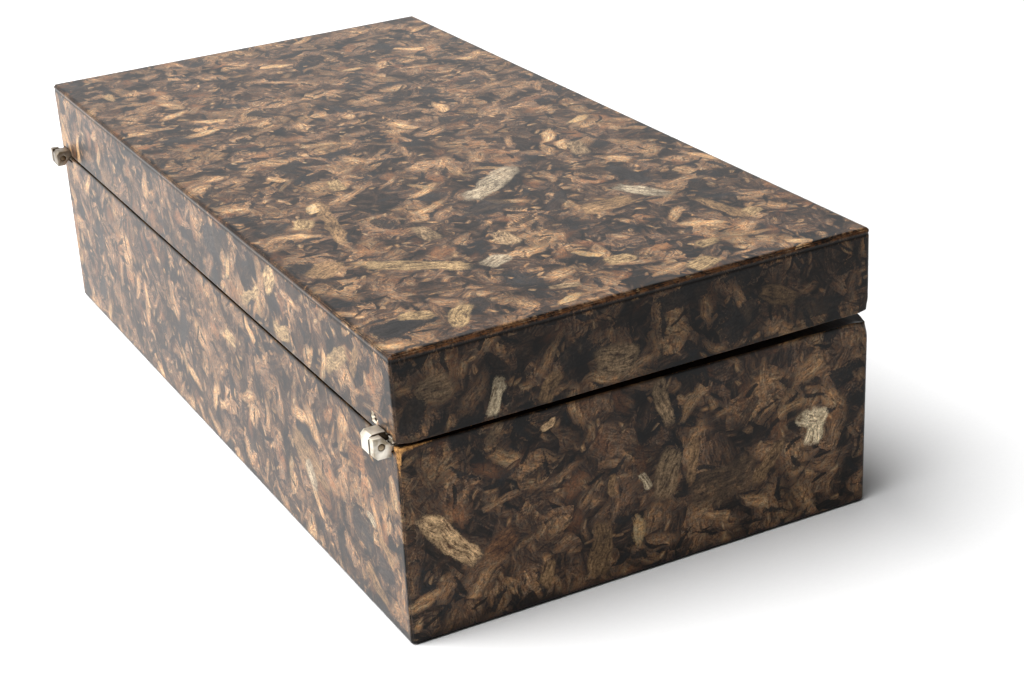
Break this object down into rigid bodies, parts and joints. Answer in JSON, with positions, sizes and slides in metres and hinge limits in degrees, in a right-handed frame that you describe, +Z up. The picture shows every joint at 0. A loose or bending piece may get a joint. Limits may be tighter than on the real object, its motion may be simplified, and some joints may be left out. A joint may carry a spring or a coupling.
{
  "type": "tea box",
  "caption": "Long hollow tea box covered in pressed leaf flakes, with a shallow lid that swings on small square-knuckled stop hinges outside one long side.",
  "frame": {"origin": "middle of the base's underside", "axes": "+Z up, +Y along the long sides, -X towards the hinge side, so the lid opens at +X"},
  "size_m": [0.1243, 0.24, 0.0698],
  "materials": {
    "leaf_flakes": "pressed brown and cream leaf and bark flakes in a near-black binder over wood, under a smooth satin clear lacquer",
    "hinge_nickel": "worn nickel plate, satin",
    "hinge_pin_steel": "dull drawn steel with brown grime"
  },
  "bodies": {
    "box": {"base": "leaf_flakes", "left_hinge_base_leaf": "hinge_nickel", "left_hinge_pin": "hinge_pin_steel", "right_hinge_base_leaf": "hinge_nickel", "right_hinge_pin": "hinge_pin_steel"},
    "lid": {"lid": "leaf_flakes", "left_hinge_lid_leaf": "hinge_nickel", "right_hinge_lid_leaf": "hinge_nickel"}
  },
  "joints": [
    {"name": "lid_hinge", "type": "hinge", "parent": "box", "child": "lid", "pos_m": [-0.0624, 0, 0.0475], "axis": [0, -1, 0], "range_deg": [0, 94]}
  ]
}
